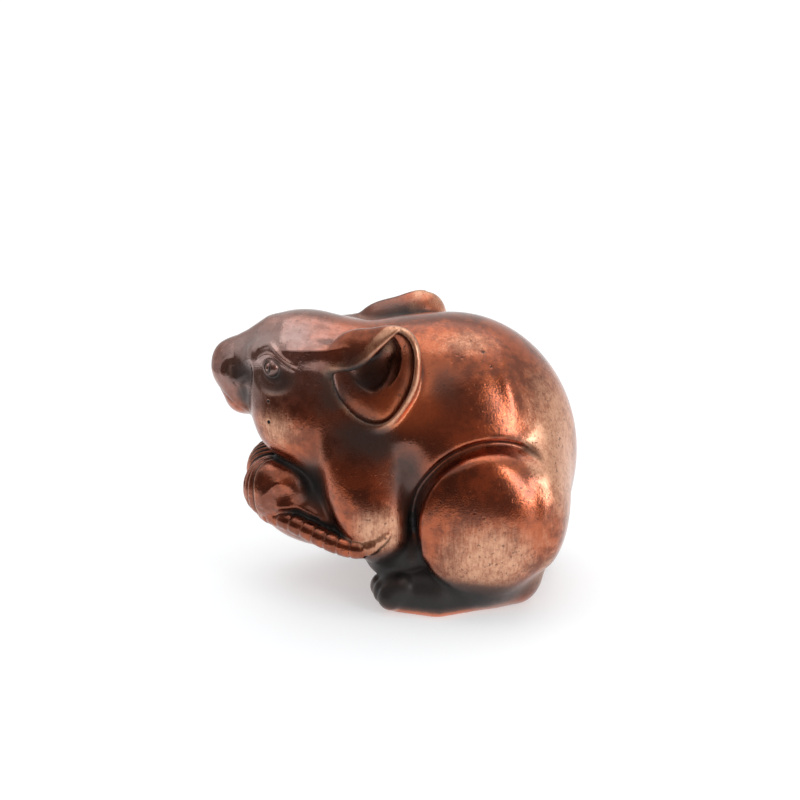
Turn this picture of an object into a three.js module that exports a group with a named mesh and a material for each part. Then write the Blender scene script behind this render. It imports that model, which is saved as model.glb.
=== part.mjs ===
// A crouching rat, cast in bronze as one piece and browned all over. It sits on its hind feet and rump
// with its forepaws raised, and both paws grip its own tail, which comes round from behind.
// Millimetres, +Z up. The nose points along -X and the left flank faces -Y. The origin lies on the
// resting plane, under the middle of the figure's box.
//
// The figure is worked like clay: each form is a signed distance, negative inside, and the forms are
// run together with rounded joints. The left half of each pair of forms is given, and the right half
// mirrors it.

import * as THREE from 'three';
import { SimplifyModifier } from 'three/addons/modifiers/SimplifyModifier.js';
import { MarchingCubes } from 'three/addons/objects/MarchingCubes.js';
import { mergeVertices } from 'three/addons/utils/BufferGeometryUtils.js';

// Trunk: ellipsoids as centre, radii and tilt in degrees (a positive tilt lowers the nose end)
const TORSO = { centre: [9.4, 0, 23.2], radii: [21.6, 17, 24.2] };
const CHEST = { centre: [-4, 0, 28], radii: [14, 11.8, 16.5] };
const CHEST_BLEND = 8;
const BELLY = { centre: [-9, 0, 14], radii: [14, 10, 7.5] };
const BELLY_BLEND = 3;

// Head, turned a little to the rat's right about a pivot in the neck
const HEAD_TURN = 7;
const HEAD_PIVOT = [-6, 0, 30];
const NECK_BLEND = 4;
const CRANIUM = { centre: [-13.5, 0, 37.2], radii: [11.5, 9.8, 10.2], tilt: 4 };
const MUZZLE = { points: [[-17.5, 0, 38.4], [-26.2, 0, 37]], radii: [7.9, 4.9], blend: 3.5 };
const JAW = { centre: [-24.4, 0, 33.2], radii: [4.6, 4, 3.6], tilt: -30, blend: 2.5 };
const CHEEK = { centre: [-15.4, -5.2, 29.6], radii: [8, 6, 7], blend: 3 };
const BROW = {
  points: [[-22, -5.4, 41.6], [-16, -7.8, 42.4], [-8, -9, 43]],
  radii: [1.4, 1.9, 2.2],
  blend: 2.5,
};

// Ear: a shallow cup facing along EAR_FACING, half closed at the front by a folded flap
const EAR_CENTRE = [-1.6, -12, 40.6];
const EAR_FACING = [-0.36, -0.9, 0.16];
const EAR_BACKWARD = [0.95, -0.35, 0.18];
const EAR_SHELL = { length: 8.6, height: 9, depth: 5.6, crown: 2.6 };
const EAR_WALL = 1.1;
const EAR_CUP_DEPTH = 4.7;
const EAR_CUP_CROWN = 1.2;
const EAR_RIM = 0.2;
const FLAP = { height: 1, slant: 3, fold: 1.5, lap: 1.5 };
const EAR_CANAL = { centre: [-5.7, -12.4, 38], radii: [2.4, 3, 2.2] };
const RIGHT_EAR_SHIFT = [1.5, 0, -0.6];
const EAR_BLEND = 1;
const EAR_EDGE = 0.4;

// Foreleg: upper arm, forearm and fist
const UPPER_ARM = { centre: [-5, -11.6, 20.3], radii: [5.8, 4.9, 10.4], tilt: -15, blend: 1.4 };
const FOREARM = {
  points: [[-2.6, -11.6, 11.8], [-10, -8, 13], [-16, -5.5, 16.5]],
  radii: [3.9, 3.2, 3.2],
  blend: 1,
};
const FIST = { centre: [-18.4, -5.4, 18.6], radii: [6, 4.4, 5], tilt: 20, blend: 1 };

// Fingers: knuckle, bend and tip of the innermost and the outermost, the others evenly between
const FINGER_COUNT = 5;
const INNER_FINGER = [[-19, -2.4, 22.6], [-23.8, -2, 21.6], [-25.8, -1.4, 18.6]];
const OUTER_FINGER = [[-19, -8.2, 16.6], [-23, -7.4, 15.2], [-23.8, -5.6, 13]];
const FINGER_RADII = [1.25, 1.15, 0.9];
const FINGER_BLEND = 0.35;

// Thigh: a domed disc that runs out into the rump behind, with a groove engraved round its front and top
const THIGH = { centre: [15.6, -13.2, 16.2], radii: [12.3, 7.6, 13.2] };
const THIGH_BLEND = { front: 0.8, behind: 9.8, from: 19, to: 27 };
const GROOVE = { depth: 1.1, halfWidth: 0.75, offset: 0.35, startDeg: [-25, -5], endDeg: [100, 138] };
const GROOVE_FLANK = [8, 11];

// Hind foot, the shin folded down onto it, and its toes, spread outwards from the innermost
const SHIN = { centre: [2, -9.5, 8.5], radii: [7, 5, 5], blend: 1.5 };
const FOOT = {
  points: [[1.5, -12.4, 3.2], [7, -13.8, 3.4], [20, -9.5, 3.6]],
  radii: [4.2, 4.6, 4.2],
  blend: 1,
};
const TOE_COUNT = 4;
const TOE_PITCH = 2.3;
const INNER_TOE_Y = -8;
const LONGEST_TOE = 1.2;
const TOE = { rootX: 1.5, rootZ: 3.4, tipX: -2.9, tipZ: 1.5, stagger: 0.8, radii: [1.9, 1.6], blend: 0.4 };

// Tail: places along its middle line with its radius there, from the rump round the right side, under
// both paws and back along the left forearm to the elbow
const TAIL = [
  { at: [20, -1, 7], radius: 3.6 },
  { at: [24.6, 6, 4], radius: 3.3 },
  { at: [22.4, 13, 3], radius: 3.2 },
  { at: [14, 17, 2.8], radius: 3.1 },
  { at: [4, 16.6, 3.6], radius: 3 },
  { at: [-4.5, 13.6, 6.8], radius: 2.9 },
  { at: [-12.5, 9.8, 11], radius: 2.8 },
  { at: [-19, 6.4, 14], radius: 2.7 },
  { at: [-22.8, 2.2, 15], radius: 2.7 },
  { at: [-22.6, -3.5, 14.4], radius: 2.6 },
  { at: [-17.5, -8.6, 14.4], radius: 2.6 },
  { at: [-11.5, -12, 12.6], radius: 2.5 },
  { at: [-6.2, -14.6, 10.7], radius: 2.2 },
  { at: [-2.4, -15.6, 10.9], radius: 1.6 },
  { at: [-0.2, -15.2, 12.8], radius: 0.8 },
];
const TAIL_STEPS = 56;
const TAIL_BLEND = 0.6;

// Surface: the box that holds the clay, how finely it is sampled, and the facets left in the end
const WORK_CENTRE = [0, 0, 25];
const WORK_HALF = [34, 25, 28];
const GRID_NODES = 112;
const MAX_SAMPLED_FACETS = 200000;
const FACET_BUDGET = 8000;
const BASE_SNAP = 0.05;

const RAD = Math.PI / 180;
const smoothstep = THREE.MathUtils.smoothstep;
const clamp01 = (value) => Math.min(1, Math.max(0, value));
const lerpPoint = (a, b, t) => a.map((value, i) => value + (b[i] - value) * t);

/** Union of two distances with a rounded joint of the given width. */
function blend(a, b, width) {
  const share = clamp01(0.5 + (0.5 * (b - a)) / width);
  return b + (a - b) * share - width * share * (1 - share);
}

/** What is left of a where it lies outside the hollow, with a rounded edge. */
function carve(a, hollow, edge) {
  return -blend(-a, hollow, edge);
}

/** Intersection of two distances with a rounded edge. */
function overlap(a, b, edge) {
  return -blend(-a, -b, edge);
}

/** Distance to an ellipsoid from offsets already divided along its own axes. */
function ellipsoidDistance(x, y, z, rx, ry, rz) {
  const unit = Math.hypot(x / rx, y / ry, z / rz);
  const slope = Math.hypot(x / (rx * rx), y / (ry * ry), z / (rz * rz));
  return (unit * (unit - 1)) / Math.max(slope, 1e-9);
}

/** A function of a point that gives its distance to an ellipsoid. */
function ellipsoid({ centre, radii, tilt = 0 }) {
  const cos = Math.cos(tilt * RAD);
  const sin = Math.sin(tilt * RAD);
  return ([x, y, z]) => {
    const dx = x - centre[0];
    const dz = z - centre[2];
    return ellipsoidDistance(cos * dx - sin * dz, y - centre[1], sin * dx + cos * dz, ...radii);
  };
}

/** A function of a point that gives its distance to a tapered round limb along a chain of points. */
function limb({ points, radii }) {
  const bones = points.slice(1).map((end, i) => {
    const start = points[i];
    const run = end.map((value, axis) => value - start[axis]);
    const squared = run[0] ** 2 + run[1] ** 2 + run[2] ** 2;
    return { start, run, squared, radius: radii[i], taper: radii[i + 1] - radii[i] };
  });
  return ([x, y, z]) => {
    let nearest = Infinity;
    for (const { start, run, squared, radius, taper } of bones) {
      const dx = x - start[0];
      const dy = y - start[1];
      const dz = z - start[2];
      const t = clamp01((dx * run[0] + dy * run[1] + dz * run[2]) / squared);
      const gap = Math.hypot(dx - t * run[0], dy - t * run[1], dz - t * run[2]);
      nearest = Math.min(nearest, gap - radius - taper * t);
    }
    return nearest;
  };
}

const torso = ellipsoid(TORSO);
const chest = ellipsoid(CHEST);
const belly = ellipsoid(BELLY);

function trunkDistance(point) {
  return blend(blend(torso(point), chest(point), CHEST_BLEND), belly(point), BELLY_BLEND);
}

const cranium = ellipsoid(CRANIUM);
const headForms = [
  { distance: limb(MUZZLE), blend: MUZZLE.blend },
  { distance: ellipsoid(JAW), blend: JAW.blend },
  { distance: ellipsoid(CHEEK), blend: CHEEK.blend },
  { distance: limb(BROW), blend: BROW.blend },
];

function headDistance(point) {
  return headForms.reduce((sum, form) => blend(sum, form.distance(point), form.blend), cranium(point));
}

const earOut = new THREE.Vector3(...EAR_FACING).normalize();
const earBack = new THREE.Vector3(...EAR_BACKWARD).projectOnPlane(earOut).normalize();
const earUp = new THREE.Vector3().crossVectors(earOut, earBack);
const earCanal = ellipsoid(EAR_CANAL);
const DIAGONAL = Math.SQRT2;

/** Distance to an egg in the ear's own axes, deeper behind the rim's plane than in front of it. */
function eggDistance(back, up, out, length, height, depth, crown) {
  return ellipsoidDistance(back, up, out, length, height, out < 0 ? depth : crown);
}

/** Adds an ear to the figure: a shell open in front, except under the flap, then its cup and canal. */
function addEar(figure, point) {
  const offset = new THREE.Vector3(...point).sub(new THREE.Vector3(...EAR_CENTRE));
  const back = offset.dot(earBack);
  const up = offset.dot(earUp);
  const out = offset.dot(earOut);
  const { length, height, depth, crown } = EAR_SHELL;
  const shell = eggDistance(back, up, out, length, height, depth, crown);
  const cup = eggDistance(
    back, up, out, length - EAR_WALL, height - EAR_WALL, EAR_CUP_DEPTH, EAR_CUP_CROWN);
  const underFlap = blend(up - FLAP.height, (up - back - FLAP.slant) / DIAGONAL, FLAP.fold);
  const mouth = overlap(EAR_RIM - out, underFlap, EAR_EDGE);
  const withShell = blend(figure, carve(shell, mouth, EAR_EDGE), EAR_BLEND);
  const hollow = overlap(cup, underFlap - FLAP.lap, EAR_EDGE);
  return carve(carve(withShell, hollow, EAR_EDGE), earCanal(point), EAR_EDGE);
}

const forelegForms = [
  { distance: ellipsoid(UPPER_ARM), blend: UPPER_ARM.blend },
  { distance: limb(FOREARM), blend: FOREARM.blend },
  { distance: ellipsoid(FIST), blend: FIST.blend },
];
for (let i = 0; i < FINGER_COUNT; i += 1) {
  const share = i / (FINGER_COUNT - 1);
  const points = INNER_FINGER.map((joint, k) => lerpPoint(joint, OUTER_FINGER[k], share));
  forelegForms.push({ distance: limb({ points, radii: FINGER_RADII }), blend: FINGER_BLEND });
}

const footForms = [
  { distance: ellipsoid(SHIN), blend: SHIN.blend },
  { distance: limb(FOOT), blend: FOOT.blend },
];
for (let i = 0; i < TOE_COUNT; i += 1) {
  const y = INNER_TOE_Y - i * TOE_PITCH;
  const tipX = TOE.tipX + TOE.stagger * Math.abs(i - LONGEST_TOE);
  const points = [[TOE.rootX, y, TOE.rootZ], [tipX, y, TOE.tipZ]];
  footForms.push({ distance: limb({ points, radii: TOE.radii }), blend: TOE.blend });
}

const thigh = ellipsoid(THIGH);

/** Adds the thigh, sharp at its front and melting into the rump behind, and engraves its groove. */
function addThigh(figure, point) {
  const [x, y, z] = point;
  const { front, behind, from, to } = THIGH_BLEND;
  const width = front + (behind - front) * smoothstep(x, from, to);
  const across = (x - THIGH.centre[0]) / THIGH.radii[0];
  const rise = (z - THIGH.centre[2]) / THIGH.radii[2];
  const outside = (Math.hypot(across, rise) - 1) * THIGH.radii[2];
  const angle = Math.atan2(rise, -across) / RAD;
  const begun = smoothstep(angle, ...GROOVE.startDeg);
  const ended = smoothstep(angle, ...GROOVE.endDeg);
  const onFlank = smoothstep(-y, ...GROOVE_FLANK);
  const profile = Math.exp(-(((outside - GROOVE.offset) / GROOVE.halfWidth) ** 2));
  const groove = GROOVE.depth * profile * begun * (1 - ended) * onFlank;
  return blend(figure, thigh(point), width) + groove;
}

const tailLine = new THREE.CatmullRomCurve3(TAIL.map(({ at }) => new THREE.Vector3(...at)));

/** The tail's limb: its middle line in short straight steps, with the radius worked out along it. */
function tailLimb() {
  const points = [];
  const radii = [];
  for (let i = 0; i <= TAIL_STEPS; i += 1) {
    const t = i / TAIL_STEPS;
    const span = t * (TAIL.length - 1);
    const first = Math.min(Math.floor(span), TAIL.length - 2);
    points.push(tailLine.getPoint(t).toArray());
    radii.push(THREE.MathUtils.lerp(TAIL[first].radius, TAIL[first + 1].radius, span - first));
  }
  return limb({ points, radii });
}

const tail = tailLimb();
const turnCos = Math.cos(HEAD_TURN * RAD);
const turnSin = Math.sin(HEAD_TURN * RAD);

/** A point turned back about the neck, so that the head can be given facing straight ahead. */
function straightened([x, y, z]) {
  const dx = x - HEAD_PIVOT[0];
  const dy = y - HEAD_PIVOT[1];
  return [HEAD_PIVOT[0] + turnCos * dx - turnSin * dy, HEAD_PIVOT[1] + turnSin * dx + turnCos * dy, z];
}

const leftOf = ([x, y, z]) => [x, -Math.abs(y), z];

/** Signed distance to the whole figure, cut flat where it stands. */
function ratDistance(point) {
  const left = leftOf(point);
  const ahead = straightened(point);
  const leftHead = leftOf(ahead);
  const leftEar = ahead[1] < 0 ? leftHead : leftHead.map((value, i) => value - RIGHT_EAR_SHIFT[i]);
  let figure = blend(trunkDistance(left), headDistance(leftHead), NECK_BLEND);
  for (const form of forelegForms) figure = blend(figure, form.distance(left), form.blend);
  figure = addThigh(figure, left);
  for (const form of footForms) figure = blend(figure, form.distance(left), form.blend);
  figure = blend(figure, tail(point), TAIL_BLEND);
  figure = addEar(figure, leftEar);
  return Math.max(figure, -point[2]);
}

/** The figure's surface as loose facets, from distances sampled on a grid that fills the work box. */
function sampledSurface() {
  const sampler = new MarchingCubes(GRID_NODES, undefined, false, false, MAX_SAMPLED_FACETS);
  const half = GRID_NODES / 2;
  const place = (i, axis) => WORK_CENTRE[axis] + ((i - half) / half) * WORK_HALF[axis];
  sampler.isolation = 0;
  for (let k = 0; k < GRID_NODES; k += 1) {
    for (let j = 0; j < GRID_NODES; j += 1) {
      for (let i = 0; i < GRID_NODES; i += 1) {
        const node = (k * GRID_NODES + j) * GRID_NODES + i;
        sampler.field[node] = -ratDistance([place(i, 0), place(j, 1), place(k, 2)]);
      }
    }
  }
  sampler.update();
  const positions = sampler.geometry.getAttribute('position').array.slice(0, sampler.count * 3);
  const surface = new THREE.BufferGeometry();
  surface.setAttribute('position', new THREE.BufferAttribute(positions, 3));
  surface.scale(...WORK_HALF);
  surface.translate(...WORK_CENTRE);
  return surface;
}

/** The same geometry without facets that have shrunk to a line. */
function withoutSlivers(geometry) {
  const corners = geometry.getIndex().array;
  const kept = [];
  for (let i = 0; i < corners.length; i += 3) {
    const [a, b, c] = corners.slice(i, i + 3);
    if (a !== b && b !== c && c !== a) kept.push(a, b, c);
  }
  geometry.setIndex(kept);
  return geometry;
}

/** The closed facetted figure, within its facet budget, standing centred over the origin. */
async function ratGeometry() {
  const fine = withoutSlivers(mergeVertices(sampledSurface(), 1e-4));
  const spare = fine.getAttribute('position').count - FACET_BUDGET / 2;
  const rat = await new SimplifyModifier().modify(fine, spare);
  const position = rat.getAttribute('position');
  for (let i = 0; i < position.count; i += 1) {
    if (Math.abs(position.getZ(i)) < BASE_SNAP) position.setZ(i, 0);
  }
  rat.computeBoundingBox();
  const middle = rat.boundingBox.getCenter(new THREE.Vector3());
  rat.translate(-middle.x, -middle.y, 0);
  rat.computeVertexNormals();
  return rat;
}

const bronze = new THREE.MeshStandardMaterial({ color: 0x7a4a32, roughness: 0.35, metalness: 1 });
const rat = new THREE.Mesh(await ratGeometry(), bronze);
rat.name = 'rat';

const okimono = new THREE.Group();
okimono.add(rat);

export default okimono;
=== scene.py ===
"""A browned bronze rat okimono on a pale studio floor.

The rat is one casting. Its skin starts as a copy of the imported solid, is remeshed finely and is then pressed
onto a sculpted form: lumps and rods of clay, with lines scored into them. The sculpt is in millimetres in the
object's own frame, and the finished mesh is in metres. The rat faces -X and shows its left flank to -Y.
"""

import logging
import math
from dataclasses import dataclass, field
from enum import Enum

import bmesh
import bpy
import numpy as np
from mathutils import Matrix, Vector
from mathutils.bvhtree import BVHTree


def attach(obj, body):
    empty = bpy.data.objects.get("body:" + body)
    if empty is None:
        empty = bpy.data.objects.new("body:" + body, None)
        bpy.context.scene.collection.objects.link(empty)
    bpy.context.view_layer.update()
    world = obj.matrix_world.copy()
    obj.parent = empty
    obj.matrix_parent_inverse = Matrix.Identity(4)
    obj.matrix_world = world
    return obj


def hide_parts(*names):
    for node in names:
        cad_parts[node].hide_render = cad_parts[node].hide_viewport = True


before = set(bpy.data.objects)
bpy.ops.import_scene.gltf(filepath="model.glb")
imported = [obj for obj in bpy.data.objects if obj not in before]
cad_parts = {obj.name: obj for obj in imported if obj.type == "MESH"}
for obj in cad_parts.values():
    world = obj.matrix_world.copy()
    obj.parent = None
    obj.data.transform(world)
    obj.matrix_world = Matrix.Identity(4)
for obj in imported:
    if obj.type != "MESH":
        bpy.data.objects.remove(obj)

log = logging.getLogger("okimono")

Triple = tuple[float, float, float]
Path = tuple[Triple, ...]

MILLIMETRE = 0.001
GRADIENT_STEP = 0.03
RAT_MIDDLE = 0.025


def blend(first: np.ndarray, second: np.ndarray, seam: float | np.ndarray) -> np.ndarray:
    """Joins two forms with a soft seam.

    Args:
        first: Distances to one form.
        second: Distances to the other form.
        seam: Width over which they melt together.

    Returns:
        Distances to the joined form.
    """
    share = np.clip(0.5 + 0.5 * (second - first) / seam, 0.0, 1.0)
    return second + (first - second) * share - seam * share * (1.0 - share)


def carve(form: np.ndarray, tool: np.ndarray, seam: float) -> np.ndarray:
    """Cuts a tool form out of a form.

    Args:
        form: Distances to the clay.
        tool: Distances to what is taken away.
        seam: Width of the rounded edge.

    Returns:
        Distances to the clay that is left.
    """
    return -blend(-form, tool, seam)


def common(first: np.ndarray, second: np.ndarray, seam: float) -> np.ndarray:
    """Keeps only what two forms share.

    Args:
        first: Distances to one form.
        second: Distances to the other form.
        seam: Width of the rounded edge.

    Returns:
        Distances to the shared form.
    """
    return -blend(-first, -second, seam)


def ramp(low: float, high: float, values: np.ndarray) -> np.ndarray:
    """Rises smoothly from 0 at low to 1 at high.

    Args:
        low: Where the rise starts.
        high: Where it ends.
        values: Where to read it.

    Returns:
        Values from 0 to 1.
    """
    share = np.clip((values - low) / (high - low), 0.0, 1.0)
    return share * share * (3.0 - 2.0 * share)


def left_side(points: np.ndarray) -> np.ndarray:
    """Folds the right half of the rat onto its left half."""
    return np.stack([points[:, 0], -np.abs(points[:, 1]), points[:, 2]], axis=1)


def unit(vector: np.ndarray) -> np.ndarray:
    """Scales a vector to length 1."""
    return vector / np.linalg.norm(vector)


def around(points: np.ndarray, start: np.ndarray, end: np.ndarray, margin: float) -> np.ndarray:
    """Finds the points in a ball around a short line.

    Args:
        points: Rows of places.
        start: Start of the line.
        end: End of the line.
        margin: How far past the ends of the line the ball reaches.

    Returns:
        The row numbers of the points.
    """
    offset = points - 0.5 * (start + end)
    reach = margin + 0.5 * np.linalg.norm(end - start)
    return np.flatnonzero(np.einsum("ij,ij->i", offset, offset) < reach**2)


def curve(
    before: np.ndarray, here: np.ndarray, after: np.ndarray, beyond: np.ndarray, share: float | np.ndarray
) -> np.ndarray:
    """Reads a smooth curve through four values, between the middle two.

    Args:
        before: The first value.
        here: The second, where the stretch starts.
        after: The third, where the stretch ends.
        beyond: The fourth.
        share: How far along the stretch, from 0 to 1.

    Returns:
        The value there.
    """
    slope = (after - before) * share
    bend = (2 * before - 5 * here + 4 * after - beyond) * share**2
    twist = (3 * here - before - 3 * after + beyond) * share**3
    return here + 0.5 * (slope + bend + twist)


def smooth_rows(rows: np.ndarray, steps: int) -> np.ndarray:
    """Draws a smooth curve through rows of numbers.

    Args:
        rows: The rows that the curve goes through.
        steps: Steps from each row to the next.

    Returns:
        The finer rows.
    """
    ends = np.vstack([2 * rows[0] - rows[1], rows, 2 * rows[-1] - rows[-2]])
    fine = []
    for start in range(len(rows) - 1):
        for share in np.arange(steps) / steps:
            fine.append(curve(*ends[start : start + 4], share))
    fine.append(rows[-1])
    return np.array(fine)


@dataclass(frozen=True)
class Lump:
    """An ellipsoid of clay.

    tilt turns it about the crosswise axis and lean about the lengthwise one, in degrees.
    """

    centre: Triple
    radii: Triple
    tilt: float = 0.0
    lean: float = 0.0

    def distance(self, points: np.ndarray) -> np.ndarray:
        """Measures how far points are outside the lump.

        Args:
            points: Rows of places.

        Returns:
            One distance a row, negative inside.
        """
        x, y, z = (points - np.array(self.centre)).T
        if self.tilt:
            cosine, sine = math.cos(math.radians(self.tilt)), math.sin(math.radians(self.tilt))
            x, z = cosine * x - sine * z, sine * x + cosine * z
        if self.lean:
            cosine, sine = math.cos(math.radians(self.lean)), math.sin(math.radians(self.lean))
            y, z = cosine * y - sine * z, sine * y + cosine * z
        wide, deep, tall = self.radii
        share = np.sqrt((x / wide) ** 2 + (y / deep) ** 2 + (z / tall) ** 2)
        slope = np.sqrt((x / wide**2) ** 2 + (y / deep**2) ** 2 + (z / tall**2) ** 2)
        return share * (share - 1.0) / np.maximum(slope, 1e-9)


@dataclass(frozen=True)
class Rod:
    """A round rod of clay through a few points, with a radius at each one."""

    path: Path
    radii: tuple[float, ...]
    steps: int = 1
    far: float = 6.0

    def measure(self, points: np.ndarray) -> tuple[np.ndarray, np.ndarray]:
        """Measures points against the rod.

        Args:
            points: Rows of places.

        Returns:
            The distance outside the rod, at most far, and the length along it of the nearest place.
        """
        rows = np.hstack([np.array(self.path, float), np.array(self.radii, float)[:, None]])
        if self.steps > 1:
            rows = smooth_rows(rows, self.steps)
        best = np.full(len(points), self.far)
        along = np.zeros(len(points))
        done = 0.0
        for start, end in zip(rows[:-1], rows[1:]):
            span = end[:3] - start[:3]
            length = np.linalg.norm(span)
            close = around(points, start[:3], end[:3], max(start[3], end[3]) + self.far)
            near = points[close]
            share = np.clip((near - start[:3]) @ span / length**2, 0.0, 1.0)
            gap = np.linalg.norm(near - start[:3] - share[:, None] * span, axis=1)
            gap -= start[3] + (end[3] - start[3]) * share
            nearer = gap < best[close]
            best[close[nearer]] = gap[nearer]
            along[close[nearer]] = done + share[nearer] * length
            done += length
        return best, along

    def distance(self, points: np.ndarray) -> np.ndarray:
        """Measures how far points are outside the rod, at most far."""
        return self.measure(points)[0]


@dataclass(frozen=True)
class Score:
    """A line cut into the skin, or a ridge raised on it where the depth is negative.

    The line is cut straight in along facing, so its path need not lie exactly on the skin.
    """

    path: Path
    half_width: float
    depth: float
    facing: Triple = (0.0, -1.0, 0.0)
    taper: float = 0.15
    reach: float = 3.0

    def relief(self, points: np.ndarray) -> np.ndarray:
        """Works out how deep the line cuts.

        Args:
            points: Rows of places.

        Returns:
            The depth at each row.
        """
        rows = smooth_rows(np.array(self.path, float), 4)
        margin = 2.5 * max(self.half_width, 0.5 * self.reach)
        facing = unit(np.array(self.facing))
        best = np.full(len(points), np.inf)
        along = np.zeros(len(points))
        count = len(rows) - 1
        for number, (start, end) in enumerate(zip(rows[:-1], rows[1:])):
            span = end - start
            close = around(points, start, end, margin)
            near = points[close]
            share = np.clip((near - start) @ span / (span @ span), 0.0, 1.0)
            gap = near - start - share[:, None] * span
            inward = gap @ facing
            beside = np.sqrt(np.maximum((gap**2).sum(axis=1) - inward**2, 0.0)) / self.half_width
            beside = np.hypot(beside, 2.0 * inward / self.reach)
            nearer = beside < best[close]
            best[close[nearer]] = beside[nearer]
            along[close[nearer]] = (number + share[nearer]) / count
        ends = ramp(0.0, self.taper, along) * ramp(0.0, self.taper, 1.0 - along)
        return self.depth * np.exp(-(best**2)) * ends


@dataclass(frozen=True)
class LocalAxes:
    """A small frame on the skin: along, up and out."""

    origin: Triple
    outward: Triple
    backward: Triple

    def matrix(self) -> np.ndarray:
        """Gives the along, up and out axes as columns."""
        out = unit(np.array(self.outward))
        back = np.array(self.backward)
        back = unit(back - out * (back @ out))
        return np.stack([back, np.cross(out, back), out], axis=1)

    def local(self, points: np.ndarray) -> np.ndarray:
        """Gives points in this frame."""
        return (points - np.array(self.origin)) @ self.matrix()


@dataclass(frozen=True)
class Zone:
    """A soft-edged place on the skin, by its centre and how far it reaches each way.

    A zone on the left half stands for both sides, and one on the right half only for that side.
    """

    centre: Triple
    reach: Triple
    strength: float = 1.0
    on_head: bool = False

    def share(self, points: np.ndarray) -> np.ndarray:
        """Gives how much each point belongs to the zone."""
        folded = points if self.centre[1] > 0.0 else left_side(points)
        offset = (folded - np.array(self.centre)) / np.array(self.reach)
        return self.strength * np.exp(-(offset**2).sum(axis=1))


@dataclass
class Trunk:
    """Torso, chest and belly."""

    torso: Lump = Lump((9.4, 0.0, 23.2), (21.6, 17.0, 24.2))
    chest: Lump = Lump((-4.0, 0.0, 28.0), (14.0, 11.8, 16.5))
    belly: Lump = Lump((-9.0, 0.0, 14.0), (14.0, 10.0, 7.5))
    chest_seam: float = 8.0
    belly_seam: float = 3.0
    crest: Score = Score(
        (
            (15.0, -3.0, 45.8), (17.3, -7.4, 43.1), (18.3, -10.3, 39.6), (19.4, -12.0, 36.1),
            (20.4, -13.4, 31.0),
        ),
        1.5, -0.35, facing=(0.4, -0.75, 0.5), taper=0.45,
    )

    def distance(self, points: np.ndarray) -> np.ndarray:
        """Measures how far points are outside the trunk."""
        body = blend(self.torso.distance(points), self.chest.distance(points), self.chest_seam)
        return blend(body, self.belly.distance(points), self.belly_seam) + self.crest.relief(points)


@dataclass
class Eye:
    """A round ball in a shallow socket, under a lid with two creases."""

    axes: LocalAxes = LocalAxes((-19.1, -9.1, 40.2), (-0.42, -0.91, 0.0), (0.91, -0.42, 0.0))
    socket: Lump = Lump((0.3, -0.5, 0.75), (3.7, 3.0, 1.25))
    socket_seam: float = 1.4
    ball: Lump = Lump((-0.5, 0.0, -1.0), (1.6, 1.6, 1.45))
    pupil_centre: tuple[float, float] = (-0.8, 0.2)
    pupil_radii: tuple[float, float] = (0.55, 0.85)
    ring_half_width: float = 0.16
    ring_depth: float = 0.26
    lid: Score = Score(
        (
            (-3.3, 0.5, 0), (-2.5, 1.6, 0), (-1.2, 2.3, 0), (0.2, 2.1, 0), (1.6, 1.3, 0), (3.0, 0.5, 0),
            (4.4, 0.0, 0),
        ),
        0.26, -0.26, facing=(0.0, 0.0, 1.0),
    )
    fold: Score = Score(
        (
            (-4.0, 2.0, 0), (-3.0, 3.2, 0), (-1.7, 3.8, 0), (-0.2, 3.4, 0), (1.3, 2.5, 0), (2.9, 1.5, 0),
            (4.8, 0.7, 0),
        ),
        0.34, -0.34, facing=(0.0, 0.0, 1.0),
    )
    lower_lid: Score = Score(
        ((-2.8, -1.2, 0), (-1.4, -2.4, 0), (0.6, -2.8, 0), (2.6, -1.6, 0)), 0.6, -0.16, facing=(0.0, 0.0, 1.0)
    )
    seam: float = 0.25

    def shape(self, head: np.ndarray, points: np.ndarray) -> np.ndarray:
        """Cuts the socket in a head and sets the ball and the lids in it.

        Args:
            head: Distances to the head.
            points: Rows of places on its left half.

        Returns:
            Distances to the head with its eye.
        """
        local = self.axes.local(points)
        near = np.flatnonzero(np.abs(local).max(axis=1) < 7.0)
        local = local[near]
        form = carve(head[near], self.socket.distance(local), self.socket_seam)
        form = blend(form, self.ball.distance(local), self.seam)
        beside = local[:, :2] - np.array(self.pupil_centre)
        ring = np.linalg.norm(beside / np.array(self.pupil_radii), axis=1) - 1.0
        ring *= min(self.pupil_radii)
        depth = self.ring_depth * np.exp(-((ring / self.ring_half_width) ** 2))
        form += depth * (np.abs(local[:, 2]) < 1.5)
        form += self.lid.relief(local) + self.fold.relief(local) + self.lower_lid.relief(local)
        result = head.copy()
        result[near] = form
        return result


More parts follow.
